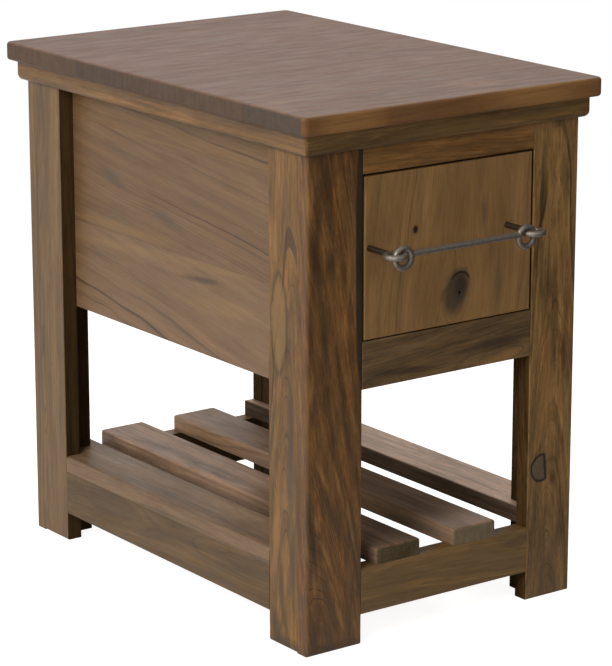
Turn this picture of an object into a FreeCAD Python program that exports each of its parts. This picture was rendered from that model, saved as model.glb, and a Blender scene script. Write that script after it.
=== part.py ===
import FreeCAD, Part
import os
import re
import Sketcher

# A chairside table with a plank top, four built-up legs, a case with one drawer and a slatted shelf.
# The width runs along X, the front faces -Y and the feet stand at Z = 0.
# Places are given about the middle of the case. "case_back" then moves the whole table back, so that the
# origin lies on the floor under the middle of everything, the pull at the front included.

# Driving sizes, in millimetres
SIZES = {
    # whole table
    "table_height": 610,
    "overrun": 5,
    # top of glued boards
    "top_width": 418,
    "top_depth": 608,
    "top_thick": 22,
    "top_round": 4,
    "top_corner": 8,
    # moulding frame under the top
    "top_lip": 10,
    "frame_thick": 24,
    "frame_member": 62,
    "frame_round": 7,
    "frame_corner": 4,
    "frame_lip": 9,
    # legs
    "leg_thick": 19,
    "left_face_width": 74,
    "right_face_width": 66,
    "back_face_width": 50,
    "side_width": 53,
    "block_width": 30,
    "leg_round": 3,
    "ease": 1.2,
    # case
    "case_bottom": 295,
    "rail_thick": 19,
    "top_rail_height": 29,
    "bottom_rail_height": 54,
    "panel_thick": 19,
    # shelf near the floor
    "apron_lift": 35,
    "apron_height": 54,
    "apron_thick": 19,
    "slat_thick": 19,
    "slat_width": 63,
    "edge_slat_width": 63,
    "slat_round": 4,
    "slat_ease": 3,
    # drawer
    "reveal": 2.5,
    "bottom_reveal": 1.5,
    "front_thick": 19,
    "box_gap": 42,
    "box_drop": 12.5,
    "box_thick": 13,
    "box_play": 1,
    "rebate_depth": 10,
    "bottom_thick": 5,
    "bottom_rise": 10,
    "groove_depth": 6,
    # what the drawer runs on
    "guide_lap": 3,
    "guide_height": 20,
    "runner_width": 56,
    "runner_height": 18,
    "slide_play": 0.2,
    "kicker_width": 44,
    "kicker_play": 4.5,
    "stop_length": 19,
    "stop_height": 19,
    "travel": 300,
    "rest_length": 20,
    "rest_width": 16,
    # forged pull
    "wire_thick": 7,
    "eye_radius": 10.5,
    "ring_radius": 11,
    "ring_play": 0.3,
    "ring_offset": 10.5,
    "rod_rise": 3.5,
    "pull_stand": 46,
    "stem_depth": 16,
    # fastenings
    "dowel_radius": 4,
    "dowel_length": 36,
    "dowel_play": 0.1,
    "peg_length": 30,
    "peg_up": 12,
    "screw_radius": 2.2,
    "screw_head": 4.2,
    "screw_cone": 2.8,
    "screw_length": 38,
    "nail_radius": 1,
    "nail_length": 32,
}

# Joints between the boards of the top, as shares of its depth from the front
TOP_JOINT_SHARES = (0, 0.1875, 0.4013, 0.5674, 0.7352, 1)
# Joints between the boards of a side panel and of the back panel, as shares of their height from below
PANEL_SHARES = {"lower": (0, 0.4015), "middle": (0.4015, 0.87), "upper": (0.87, 1)}
BACK_SHARES = {"lower": (0, 0.498), "upper": (0.498, 1)}
# Open space to the left of the left and the right inner slat, as shares of all of it across the shelf
SLAT_GAP_SHARES = (0.25, 0.613)
# Places of the pull's left and right eye, as shares of the drawer front's half width and of its height
EYE_SHARES = (-0.945, 0.698)
EYE_HEIGHT_SHARE = 0.563
# Dowels in a joint's height, and pegs across a slat's width, as shares of it
DOWEL_SHARES = (0.25, 0.75)
# Screws along the frame's members, as shares of half the frame's width and depth
SCREW_ALONG_SHARES = (0.45, 0.45)
# Where the corner block's dowel stands, as a share of the block, so that it misses the frame's mitre
BLOCK_DOWEL_SHARE = 0.7
# Pegs along an edge slat, as a share of half the case's depth
EDGE_PEG_SHARE = 0.5
# Heights of the nails in the drawer's corners, as shares of the height above its bottom
NAIL_SHARES = (0.15, 0.45, 0.85)

# Sizes and places that follow from the ones above
WORKED_OUT = {
    "leg_height": "table_height - top_thick - frame_thick",
    "frame_half_width": "top_width / 2 - top_lip",
    "frame_half_depth": "top_depth / 2 - top_lip",
    "half_width": "frame_half_width - frame_lip",
    "half_depth": "frame_half_depth - frame_lip",
    "face_inner_left": "half_width - left_face_width",
    "face_inner_right": "half_width - right_face_width",
    "opening_half": "(face_inner_left + face_inner_right) / 2",
    "drawer_middle": "(face_inner_right - face_inner_left) / 2",
    "back_face_inner": "half_width - back_face_width",
    "side_face": "half_width - leg_thick",
    "face_back": "half_depth - leg_thick",
    "side_end": "face_back - side_width",
    "block_side": "side_face - block_width",
    "block_end": "face_back - block_width",
    "panel_inner": "side_face - panel_thick",
    "rail_back": "half_depth - rail_thick",
    "opening_bottom": "case_bottom + bottom_rail_height",
    "opening_top": "leg_height - top_rail_height",
    "back_inner": "face_back - panel_thick",
    "shelf_under": "apron_lift + apron_height",
    "shelf_top": "shelf_under + slat_thick",
    "edge_slat_inner": "half_width - edge_slat_width",
    "front_low": "opening_bottom + bottom_reveal",
    "front_top": "opening_top - reveal",
    "front_half": "opening_half - reveal",
    "front_back": "half_depth - front_thick",
    "guide_inner": "opening_half - guide_lap",
    "box_half": "guide_inner - box_play",
    "box_inner": "box_half - box_thick",
    "box_top": "opening_top - box_drop",
    "box_end": "back_inner - box_gap",
    "bottom_low": "front_low + bottom_rise",
    "bottom_top": "bottom_low + bottom_thick",
    "runner_top": "front_low - slide_play",
    "kicker_low": "box_top + kicker_play",
    "stop_start": "box_end - box_thick - travel - stop_length",
    "wire_radius": "wire_thick / 2",
    "eye_front": "half_depth + pull_stand",
    "eye_height": f"front_low + (front_top - front_low) * {EYE_HEIGHT_SHARE}",
    "ring_height": "eye_height + wire_thick + ring_play - ring_radius",
    "table_front": "eye_front + eye_radius + wire_radius",
    "case_back": "(table_front - top_depth / 2) / 2",
}

doc = FreeCAD.newDocument("ChairsideTable")
sheet = doc.addObject("Spreadsheet::Sheet", "Sizes")
pieces = []


def fill_sheet():
    """Driving sizes as plain numbers, then the places that follow as formulas, each with its name."""
    cells = {name: str(value) for name, value in SIZES.items()}
    cells.update({name: "=" + formula for name, formula in WORKED_OUT.items()})
    for row, (name, content) in enumerate(cells.items(), start=1):
        sheet.set(f"A{row}", name)
        sheet.set(f"B{row}", content)
        sheet.setAlias(f"B{row}", name)


def sized(formula):
    """The formula with each size's name looked up in the sheet."""
    return re.sub(r"[a-z]\w*", lambda name: "Sizes." + name.group(), formula)


def span(limits):
    """The length between a low and a high place."""
    low, high = limits
    return f"({high}) - ({low})"


def mirrored(way, inner, outer):
    """Low and high places of a piece that lies from inner to outer on one side of the middle."""
    return (inner, outer) if way > 0 else (f"-({outer})", f"-({inner})")


def beside(way, inner, outer):
    """The same for a piece of the drawer, from inner to outer on one side of the drawer's middle."""
    return tuple(f"{end} + drawer_middle" for end in mirrored(way, inner, outer))


def across_drawer(half):
    """Low and high places of a piece that lies across the whole drawer."""
    return f"drawer_middle - ({half})", f"drawer_middle + {half}"


def place(thing, x, y, z):
    """Put a piece at a place given about the middle of the case."""
    thing.setExpression("Placement.Base.x", sized(x))
    thing.setExpression("Placement.Base.y", sized(f"{y} + case_back"))
    thing.setExpression("Placement.Base.z", sized(z))


def keep(thing, label):
    """Name a finished piece and list it for export."""
    thing.Label = label
    pieces.append(thing)
    return thing


def draw(body, points):
    """A closed outline through the points, in the body's own ground plane."""
    sketch = body.newObject("Sketcher::SketchObject", body.Name + "_outline")
    sketch.AttachmentSupport = next(f for f in body.Origin.OriginFeatures if f.Role == "XY_Plane")
    sketch.MapMode = "FlatFace"
    count = len(points)
    turn = FreeCAD.Rotation(FreeCAD.Vector(0, 0, 1), 360 / count)
    corners = [FreeCAD.Vector(1, 0, 0)]
    while len(corners) < count:
        corners.append(turn.multVec(corners[-1]))
    for start, corner in enumerate(corners):
        sketch.addGeometry(Part.LineSegment(corner, corners[(start + 1) % count]))
    for start in range(count):
        sketch.addConstraint(Sketcher.Constraint("Coincident", start, 2, (start + 1) % count, 1))
    for start, point in enumerate(points):
        for kind, formula in zip("XY", point):
            name = f"corner_{start}_{kind.lower()}"
            index = sketch.addConstraint(Sketcher.Constraint("Distance" + kind, start, 1, 1))
            sketch.renameConstraint(index, name)
            sketch.setExpression("Constraints." + name, sized(formula))
    return sketch


def edges_on(shape, faces):
    """Names of the edges that lie on every one of the box's named faces."""
    box = shape.BoundBox
    limits = {
        "left": ("X", box.XMin), "right": ("X", box.XMax),
        "front": ("Y", box.YMin), "back": ("Y", box.YMax),
        "bottom": ("Z", box.ZMin), "top": ("Z", box.ZMax),
    }
    near = box.DiagonalLength / 1e6
    found = []
    for number, edge in enumerate(shape.Edges, start=1):
        ends = edge.BoundBox
        flush = []
        for axis, value in (limits[face] for face in faces.split()):
            flush += [abs(getattr(ends, axis + end) - value) < near for end in ("Min", "Max")]
        if all(flush):
            found.append(f"Edge{number}")
    return found


def raised(name, points, z, rounds=(), corner=("0", "0")):
    """A plank whose outline is drawn from above, padded up from the low to the high place.

    rounds lists the edges to round, as words such as "front top", each with the name of its radius.
    """
    body = doc.addObject("PartDesign::Body", name)
    pad = body.newObject("PartDesign::Pad", name + "_pad")
    pad.Profile = draw(body, points)
    pad.setExpression("Length", sized(span(z)))
    place(body, corner[0], corner[1], z[0])
    doc.recompute()
    last = pad
    for radius in dict.fromkeys(radius for _, radius in rounds):
        picked = []
        for faces, own_radius in rounds:
            if own_radius == radius:
                picked += edges_on(last.Shape, faces)
        fillet = body.newObject("PartDesign::Fillet", f"{name}_{radius}")
        fillet.Base = (last, list(dict.fromkeys(picked)))
        fillet.setExpression("Radius", sized(radius))
        doc.recompute()
        last = fillet
    body.Tip = last
    return body


def board(name, x, y, z, rounds=()):
    """A straight board between low and high places along each axis."""
    wide, deep = span(x), span(y)
    points = [("0", "0"), (wide, "0"), (wide, deep), ("0", deep)]
    return raised(name, points, z, rounds, (x[0], y[0]))


def block(name, x, y, z):
    """A plain box between low and high places, used to cut or to part other pieces."""
    box = doc.addObject("Part::Box", name)
    for side, limits in zip(("Length", "Width", "Height"), (x, y, z)):
        box.setExpression(side, sized(span(limits)))
    place(box, x[0], y[0], z[0])
    return box


def round_bar(name, radius, length, centre, axis):
    """A round bar along an axis, with its middle at the centre."""
    bar = doc.addObject("Part::Cylinder", name)
    bar.setExpression("Radius", sized(radius))
    bar.setExpression("Height", sized(length))
    turns = {
        "x": FreeCAD.Rotation(FreeCAD.Vector(0, 1, 0), 90),
        "y": FreeCAD.Rotation(FreeCAD.Vector(1, 0, 0), -90),
        "z": FreeCAD.Rotation(),
    }
    bar.Placement = FreeCAD.Placement(FreeCAD.Vector(), turns[axis])
    low = [f"({at}) - ({length}) / 2" if way == axis else at for at, way in zip(centre, "xyz")]
    place(bar, *low)
    return bar


def wire_ring(name, radius, centre, flat):
    """A closed ring of the pull's wire, lying flat or standing up across the table."""
    ring = doc.addObject("Part::Torus", name)
    ring.setExpression("Radius1", sized(radius))
    ring.setExpression("Radius2", sized("wire_radius"))
    if not flat:
        ring.Placement = FreeCAD.Placement(FreeCAD.Vector(), FreeCAD.Rotation(FreeCAD.Vector(1, 0, 0), 90))
    place(ring, *centre)
    return ring


def cut(name, base, tool):
    """The base with the tool's shape taken out of it."""
    result = doc.addObject("Part::Cut", name)
    result.Base = base
    result.Tool = tool
    return result


def shared(name, base, tool):
    """What the base and the tool have in common."""
    result = doc.addObject("Part::Common", name)
    result.Base = base
    result.Tool = tool
    return result


def joined(name, parts):
    """The parts welded into one solid."""
    result = doc.addObject("Part::MultiFuse", name)
    result.Shapes = parts
    return result


def group(name, parts):
    """Separate solids kept together."""
    result = doc.addObject("Part::Compound", name)
    result.Links = parts
    return result


def along(low, high, amount):
    """The place at a share of the way from low to high."""
    return f"({low}) + (({high}) - ({low})) * {amount}"


def slat_start(side):
    """The left edge of an inner slat: past the open space, and past the left slat for the right one."""
    open_width = "(edge_slat_inner * 2 - slat_width * 2)"
    passed = 0 if side == "left" else 1
    return f"{open_width} * {SLAT_GAP_SHARES[passed]} + slat_width * {passed} - edge_slat_inner"


def eye_place(side, inboard="0"):
    """Where an eye of the pull stands on the drawer front, or a place that far inboard of it."""
    left, right = EYE_SHARES
    way, share = ("+", left) if side == "left" else ("-", right)
    return f"drawer_middle + front_half * {share} {way} {inboard}"


def joint_pins():
    """Where every dowel and every slat peg stands: kind, centre and direction.

    The left edge slat is pegged to the apron under it, the right one is dowelled to the legs' blocks.
    """
    pins = []
    side_middle = "apron_thick / 2 - half_width"
    slat_middle = "shelf_under + slat_thick / 2"
    rail_middle = "rail_thick / 2 - half_depth"
    rails = [("case_bottom", "opening_bottom", DOWEL_SHARES), ("opening_top", "leg_height", (0.5,))]
    for way in (-1, 1):
        side = "left" if way < 0 else "right"
        end = f"{way} * face_inner_{side}"
        back_end = f"{way} * back_face_inner"
        for low, high, shares in rails:
            pins += [("dowel", (end, rail_middle, along(low, high, part)), "x") for part in shares]
        for part in DOWEL_SHARES:
            height = along("apron_lift", "shelf_under", part)
            pins.append(("dowel", (end, "apron_thick / 2 - half_depth", height), "x"))
            pins.append(("dowel", (back_end, "half_depth - apron_thick / 2", height), "x"))
            for turn in (-1, 1):
                if side == "left":
                    pins.append(("dowel", (side_middle, f"{turn} * side_end", height), "y"))
                else:
                    in_block = f"block_side + block_width * {part}"
                    pins.append(("dowel", (in_block, f"{turn} * block_end", slat_middle), "y"))
        for turn in (-1, 1):
            across = f"{way} * (side_face - block_width * {BLOCK_DOWEL_SHARE})"
            deep = f"{turn} * (face_back - block_width * {1 - BLOCK_DOWEL_SHARE})"
            pins.append(("dowel", (across, deep, "leg_height"), "z"))
            slat_end = f"{turn} * (half_depth - apron_thick / 2)"
            start = slat_start(side)
            for part in DOWEL_SHARES:
                pins.append(("peg", (f"{start} + slat_width * {part}", slat_end, "shelf_under"), "z"))
            if side == "left":
                pins.append(("peg", (side_middle, f"{turn} * half_depth * {EDGE_PEG_SHARE}", "shelf_under"), "z"))
    return pins


def make_pins():
    """Dowels, slat pegs and the holes for both."""
    made = {"dowel": [], "peg": []}
    holes = []
    for number, (kind, (x, y, z), axis) in enumerate(joint_pins(), start=1):
        length = "dowel_length" if kind == "dowel" else "peg_length"
        if kind == "peg":
            z = f"{z} + peg_up - peg_length / 2"
        name = f"{kind}_{number}"
        made[kind].append(round_bar(name, "dowel_radius", length, (x, y, z), axis))
        holes.append(round_bar(name + "_hole", "dowel_radius + dowel_play", length, (x, y, z), axis))
    keep(group("frame_dowels", made["dowel"]), "frame_dowels")
    keep(group("slat_dowels", made["peg"]), "slat_dowels")
    return group("pin_holes", holes)


def make_screws():
    """Countersunk screws up through the moulding frame into the top, eight in all."""
    screws = []
    x_middle = "frame_half_width - frame_member / 2"
    y_middle = "frame_half_depth - frame_member / 2"
    along_x, along_y = SCREW_ALONG_SHARES
    for way in (-1, 1):
        for turn in (-1, 1):
            screws.append((f"{way} * ({x_middle})", f"{turn} * frame_half_depth * {along_y}"))
            screws.append((f"{way} * frame_half_width * {along_x}", f"{turn} * ({y_middle})"))
    made = []
    for number, (x, y) in enumerate(screws, start=1):
        head = doc.addObject("Part::Cone", f"screw_{number}_head")
        head.setExpression("Radius1", sized("screw_head"))
        head.setExpression("Radius2", sized("screw_radius"))
        head.setExpression("Height", sized("screw_cone"))
        place(head, x, y, "leg_height")
        middle = "leg_height + screw_length / 2"
        shank = round_bar(f"screw_{number}_shank", "screw_radius", "screw_length", (x, y, middle), "z")
        made.append(joined(f"screw_{number}", [head, shank]))
    return keep(group("top_screws", made), "top_screws")


def make_top(screws):
    """The rounded slab, parted into the boards that it was glued up from."""
    half_x, half_y = "top_width / 2", "top_depth / 2"
    height = ("table_height - top_thick", "table_height")
    rounds = [(f"{side} {end}", "top_corner") for side in ("left", "right") for end in ("front", "back")]
    rounds += [("top", "top_round"), ("bottom", "top_round")]
    slab = board("top_slab", ("-" + half_x, half_x), ("-" + half_y, half_y), height, rounds)
    drilled = cut("top_slab_drilled", slab, screws)
    wide = (f"-({half_x}) - overrun", f"{half_x} + overrun")
    high = ("table_height - top_thick - overrun", "table_height + overrun")
    for number, (low, far) in enumerate(zip(TOP_JOINT_SHARES, TOP_JOINT_SHARES[1:]), start=1):
        deep = (f"top_depth * {low} - {half_y}", f"top_depth * {far} - {half_y}")
        strip = block(f"top_strip_{number}", wide, deep, high)
        keep(shared(f"top_board_{number}", drilled, strip), f"top_board_{number}")


def make_moulding(holes, screws):
    """The frame under the top, rounded below and mitred at its corners."""
    wide, deep = "frame_half_width", "frame_half_depth"
    height = ("leg_height", "leg_height + frame_thick")
    rounds = [(f"{side} {end}", "frame_corner") for side in ("left", "right") for end in ("front", "back")]
    rounds.append(("bottom", "frame_round"))
    slab = board("frame_slab", ("-" + wide, wide), ("-" + deep, deep), height, rounds)
    hole_x = ("frame_member - frame_half_width", "frame_half_width - frame_member")
    hole_y = ("frame_member - frame_half_depth", "frame_half_depth - frame_member")
    hole_z = ("leg_height - overrun", "leg_height + frame_thick + overrun")
    ring = cut("frame_ring", slab, block("frame_hole", hole_x, hole_y, hole_z))
    pinned = cut("frame_pinned", ring, holes)
    drilled = cut("frame_drilled", pinned, screws)
    out_x, out_y = f"({wide} + overrun)", f"({deep} + overrun)"
    in_x, in_y = hole_x[1], hole_y[1]
    for side, way in (("front", -1), ("back", 1)):
        corners = [(f"-{out_x}", out_y), (f"-({in_x})", in_y), (in_x, in_y), (out_x, out_y)]
        points = [(x, f"{way} * ({y})") for x, y in corners]
        wedge = raised(f"frame_{side}_wedge", points, hole_z)
        keep(shared(f"subtop_{side}", drilled, wedge), f"subtop_{side}")
    for side, way in (("left", -1), ("right", 1)):
        corners = [(out_x, f"-{out_y}"), (in_x, f"-({in_y})"), (in_x, in_y), (out_x, out_y)]
        points = [(f"{way} * ({x})", y) for x, y in corners]
        wedge = raised(f"frame_{side}_wedge", points, hole_z)
        keep(shared(f"subtop_{side}", drilled, wedge), f"subtop_{side}")


def make_legs(holes):
    """Each leg is a face board, a side board behind it and a square block in their angle."""
    height = ("0", "leg_height")
    for end, turn in (("front", -1), ("back", 1)):
        for side, way in (("left", -1), ("right", 1)):
            name = f"leg_{end}_{side}"
            inner = f"face_inner_{side}" if end == "front" else "back_face_inner"
            near = {"left": "right", "right": "left"}[side]
            rounds = [(f"{side} {end}", "leg_round"), (f"bottom {end}", "leg_round")]
            rounds.append((f"{near} {end}", "ease"))
            face_x = mirrored(way, inner, "half_width")
            face_y = mirrored(turn, "face_back", "half_depth")
            face = board(name + "_face_blank", face_x, face_y, height, rounds)
            keep(cut(name + "_face", face, holes), name + "_face")
            side_x = mirrored(way, "side_face", "half_width")
            side_y = mirrored(turn, "side_end", "face_back")
            far = {"front": "back", "back": "front"}[end]
            eased = [(f"bottom {side}", "leg_round"), (f"{far} {side}", "ease")]
            plank = board(name + "_side_blank", side_x, side_y, height, eased)
            keep(cut(name + "_side", plank, holes), name + "_side")
            block_x = mirrored(way, "block_side", "side_face")
            block_y = mirrored(turn, "block_end", "face_back")
            post = board(name + "_block_blank", block_x, block_y, height)
            keep(cut(name + "_block", post, holes), name + "_block")


def make_case(holes):
    """Rails round the drawer, and the panels that close the sides and the back."""
    rail_x = ("-face_inner_left", "face_inner_right")
    rail_y = ("-half_depth", "-rail_back")
    rails = {
        "front_top_rail": (("opening_top", "leg_height"), [("front bottom", "ease")]),
        "front_bottom_rail": (("case_bottom", "opening_bottom"), [("front", "ease")]),
    }
    for name, (height, rounds) in rails.items():
        rail = board(name + "_blank", rail_x, rail_y, height, rounds)
        keep(cut(name, rail, holes), name)
    for side, way in (("left", -1), ("right", 1)):
        for level, shares in PANEL_SHARES.items():
            name = f"side_panel_{side}_{level}"
            wide = mirrored(way, "panel_inner", "side_face")
            keep(board(name, wide, ("-block_end", "block_end"), panel_height(shares)), name)
    for level, shares in BACK_SHARES.items():
        name = "back_panel_" + level
        across = ("-block_side", "block_side")
        keep(board(name, across, ("back_inner", "face_back"), panel_height(shares)), name)


def panel_height(shares):
    """Low and high places of one of a panel's boards."""
    return tuple(along("case_bottom", "leg_height", part) for part in shares)


def make_shelf(holes):
    """Aprons at the front, the back and the left, and the slats between the legs and on the aprons."""
    height = ("apron_lift", "shelf_under")
    spans = {
        "front": (-1, ("-face_inner_left", "face_inner_right")),
        "back": (1, ("-back_face_inner", "back_face_inner")),
    }
    for end, (turn, wide) in spans.items():
        name = "apron_" + end
        deep = mirrored(turn, "half_depth - apron_thick", "half_depth")
        eased = [(f"bottom {end}", "ease")]
        plank = board(name + "_blank", wide, deep, height, eased)
        keep(cut(name, plank, holes), name)
    wide = mirrored(-1, "half_width - apron_thick", "half_width")
    plank = board("apron_left_blank", wide, ("-side_end", "side_end"), height, [("bottom left", "ease")])
    keep(cut("apron_left", plank, holes), "apron_left")
    slat_z = ("shelf_under", "shelf_top")
    rounds = [(f"{a} {b}", "slat_round") for a in ("left", "right") for b in ("front", "back")]
    rounds.append(("top", "slat_ease"))
    for side in ("left", "right"):
        name = "shelf_slat_" + side
        wide = (slat_start(side), f"{slat_start(side)} + slat_width")
        slat = board(name + "_blank", wide, ("-half_depth", "half_depth"), slat_z, rounds)
        keep(cut(name, slat, holes), name)
    for side, way in (("left", -1), ("right", 1)):
        name = "edge_slat_" + side
        outline = [
            ("edge_slat_inner", "-face_back"), ("block_side", "-face_back"), ("block_side", "-block_end"),
            ("side_face", "-block_end"), ("side_face", "-side_end"), ("half_width", "-side_end"),
            ("half_width", "side_end"), ("side_face", "side_end"), ("side_face", "block_end"),
            ("block_side", "block_end"), ("block_side", "face_back"), ("back_face_inner", "face_back"),
            ("back_face_inner", "half_depth"), ("edge_slat_inner", "half_depth"),
        ]
        points = [(f"{way} * {x}", y) for x, y in outline]
        slat = raised(name + "_blank", points, slat_z, [(f"top {side}", "slat_round")])
        keep(cut(name, slat, holes), name)


def make_stems():
    """The two eyes of the pull, each with a stem that is driven into the drawer's front."""
    eyes = []
    for side in ("left", "right"):
        eye_x = eye_place(side)
        ring = wire_ring(f"eye_{side}_ring", "eye_radius", (eye_x, "-eye_front", "eye_height"), True)
        stem_y = ("eye_radius - eye_front", "stem_depth - half_depth")
        stem_middle = (eye_x, along(*stem_y, 0.5), "eye_height")
        stem = round_bar(f"eye_{side}_stem", "wire_radius", span(stem_y), stem_middle, "y")
        eyes.append(keep(joined("pull_eye_" + side, [ring, stem]), "pull_eye_" + side))
    return eyes


def make_nails():
    """Nails through the drawer's sides, into its front and its back."""
    nails = []
    places = {"front": "-front_back - rebate_depth / 2", "back": "box_end - box_thick / 2"}
    for side, way in (("left", -1), ("right", 1)):
        for end, deep in places.items():
            for number, part in enumerate(NAIL_SHARES, start=1):
                across = f"drawer_middle + {way} * (box_half - nail_length / 2)"
                centre = (across, deep, along("bottom_top", "box_top", part))
                name = f"nail_{side}_{end}_{number}"
                nails.append(round_bar(name, "nail_radius", "nail_length", centre, "x"))
    return keep(group("drawer_nails", nails), "drawer_nails")


def make_drawer():
    """A flush front rebated for the sides, a back, and a bottom panel let into grooves."""
    eyes = make_stems()
    nails = make_nails()
    front_y = ("-half_depth", "-front_back")
    front_z = ("front_low", "front_top")
    front = board("drawer_front_blank", across_drawer("front_half"), front_y, front_z, [("front", "ease")])
    side_start = "-front_back - rebate_depth"
    rebate_y = (side_start, "overrun - front_back")
    rebate_z = ("front_low - overrun", "opening_top + overrun")
    tools = [block("bottom_groove", *groove_limits("-front_back - groove_depth"))]
    for side, way in (("left", -1), ("right", 1)):
        rebate_x = beside(way, "box_inner", "front_half + overrun")
        tools.append(block(f"front_rebate_{side}", rebate_x, rebate_y, rebate_z))
    shaped = cut("drawer_front_shaped", front, joined("front_cuts", tools))
    fastened = group("front_fastenings", eyes + [nails])
    keep(cut("drawer_front", shaped, fastened), "drawer_front")
    for side, way in (("left", -1), ("right", 1)):
        name = "drawer_side_" + side
        plank_x = beside(way, "box_inner", "box_half")
        plank = board(name + "_blank", plank_x, (side_start, "box_end"), ("front_low", "box_top"))
        groove = block(name + "_groove", *groove_limits(f"{side_start} - overrun"))
        grooved = cut(name + "_grooved", plank, groove)
        keep(cut(name, grooved, fastened), name)
    back_y = ("box_end - box_thick", "box_end")
    back = board("drawer_back_blank", across_drawer("box_inner"), back_y, ("bottom_top", "box_top"))
    keep(cut("drawer_back", back, nails), "drawer_back")
    panel_x = across_drawer("box_inner + groove_depth")
    panel_y = ("-front_back - groove_depth", "box_end")
    keep(board("drawer_bottom", panel_x, panel_y, ("bottom_low", "bottom_top")), "drawer_bottom")


def groove_limits(start):
    """The slot that the drawer's bottom slides into, from a place near the front to past the back."""
    wide = across_drawer("box_inner + groove_depth")
    return wide, (start, "box_end + overrun"), ("bottom_low", "bottom_top")


def make_runners():
    """Runners and guides notched round the leg blocks, with kicker, stop and rest blocks."""
    runner_inner = "(panel_inner - runner_width)"
    runner_z = ("runner_top - runner_height", "runner_top")
    for side, way in (("left", -1), ("right", 1)):
        outline = [
            (runner_inner, "-face_back"), ("block_side", "-face_back"), ("block_side", "-block_end"),
            ("panel_inner", "-block_end"), ("panel_inner", "block_end"), ("block_side", "block_end"),
            ("block_side", "back_inner"), (runner_inner, "back_inner"),
        ]
        points = [(f"{way} * {x}", y) for x, y in outline]
        keep(raised("drawer_runner_" + side, points, runner_z), "drawer_runner_" + side)
        guide_z = ("runner_top", "runner_top + guide_height")
        guide_x = mirrored(way, f"guide_inner + {way} * drawer_middle", "panel_inner")
        guide = board("drawer_guide_" + side, guide_x, ("-block_end", "block_end"), guide_z)
        keep(guide, "drawer_guide_" + side)
    rests = []
    for side, way in (("left", -1), ("right", 1)):
        rest_x = beside(way, "box_half - rest_width", "box_half")
        rest_y = ("box_end + slide_play", "box_end + slide_play + rest_length")
        rests.append(block("rest_" + side, rest_x, rest_y, ("runner_top", "runner_top + guide_height")))
    keep(group("drawer_rest_blocks", rests), "drawer_rest_blocks")
    middle = ("-kicker_width / 2", "kicker_width / 2")
    kicker_y = ("-rail_back", "back_inner")
    keep(board("drawer_kicker", middle, kicker_y, ("kicker_low", "leg_height")), "drawer_kicker")
    stop_y = ("stop_start", "stop_start + stop_length")
    keep(board("drawer_stop", middle, stop_y, ("kicker_low - stop_height", "kicker_low")), "drawer_stop")


def make_bar():
    """The pull's bar: a straight rod with a ring at each end, hanging in the eyes."""
    rings = []
    for side in ("left", "right"):
        centre = (eye_place(side, "ring_offset"), "-eye_front", "ring_height")
        rings.append(wire_ring(f"bar_ring_{side}", "ring_radius", centre, False))
    rod_x = [eye_place(side, "(ring_offset + ring_radius)") for side in ("left", "right")]
    rod_middle = (along(*rod_x, 0.5), "-eye_front", "ring_height + rod_rise")
    rod = round_bar("bar_rod", "wire_radius", span(rod_x), rod_middle, "x")
    keep(joined("pull_bar", rings + [rod]), "pull_bar")


def check():
    """Stop if any object failed or any piece's shape is missing or faulty."""
    doc.recompute()
    for thing in doc.Objects:
        if "Invalid" in thing.State or "Error" in thing.State:
            raise RuntimeError(f"{thing.Label} failed: {thing.State}")
    for piece in pieces:
        if piece.Shape.isNull() or not piece.Shape.isValid() or not piece.Shape.Solids:
            raise RuntimeError(f"{piece.Label} has no valid shape")


def export():
    """One file for each piece, named after it."""
    os.makedirs("parts", exist_ok=True)
    for piece in pieces:
        piece.Shape.exportStep(f"parts/{piece.Label}.step")
    print(len(pieces), "pieces written")


fill_sheet()
pin_holes = make_pins()
top_screws = make_screws()
make_top(top_screws)
make_moulding(pin_holes, top_screws)
make_legs(pin_holes)
make_case(pin_holes)
make_shelf(pin_holes)
make_drawer()
make_runners()
make_bar()
check()
export()
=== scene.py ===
"""Looks of the chairside table: stained acacia boards, a hand-forged iron pull, a plain white studio."""

import math

import bpy
import numpy as np
from mathutils import Matrix, Vector


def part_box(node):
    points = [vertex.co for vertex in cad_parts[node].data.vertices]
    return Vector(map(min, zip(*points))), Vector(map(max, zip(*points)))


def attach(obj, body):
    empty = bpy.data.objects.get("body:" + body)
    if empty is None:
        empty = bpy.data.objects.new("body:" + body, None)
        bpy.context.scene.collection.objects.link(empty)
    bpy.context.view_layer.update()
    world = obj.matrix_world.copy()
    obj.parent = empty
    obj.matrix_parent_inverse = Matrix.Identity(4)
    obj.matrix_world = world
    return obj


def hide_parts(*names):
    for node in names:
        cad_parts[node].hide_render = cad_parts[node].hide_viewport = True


MM = 0.001

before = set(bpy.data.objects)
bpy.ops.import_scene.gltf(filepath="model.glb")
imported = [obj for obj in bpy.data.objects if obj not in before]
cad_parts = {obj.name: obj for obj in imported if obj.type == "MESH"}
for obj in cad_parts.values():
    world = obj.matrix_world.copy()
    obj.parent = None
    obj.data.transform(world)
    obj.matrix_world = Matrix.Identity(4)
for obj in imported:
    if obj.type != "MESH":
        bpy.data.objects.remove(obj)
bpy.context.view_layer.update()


def colour(code, shade=(1, 1, 1)):
    """An sRGB hex value turned to linear light: c / 12.92 when dark, else ((c + 0.055) / 1.055) ^ 2.4."""
    parts = [int(code[i : i + 2], 16) / 255 for i in (0, 2, 4)]
    linear = [c / 12.92 if c <= 0.04045 else ((c + 0.055) / 1.055) ** 2.4 for c in parts]
    return tuple(c * share for c, share in zip(linear, shade)) + (1.0,)


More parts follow.
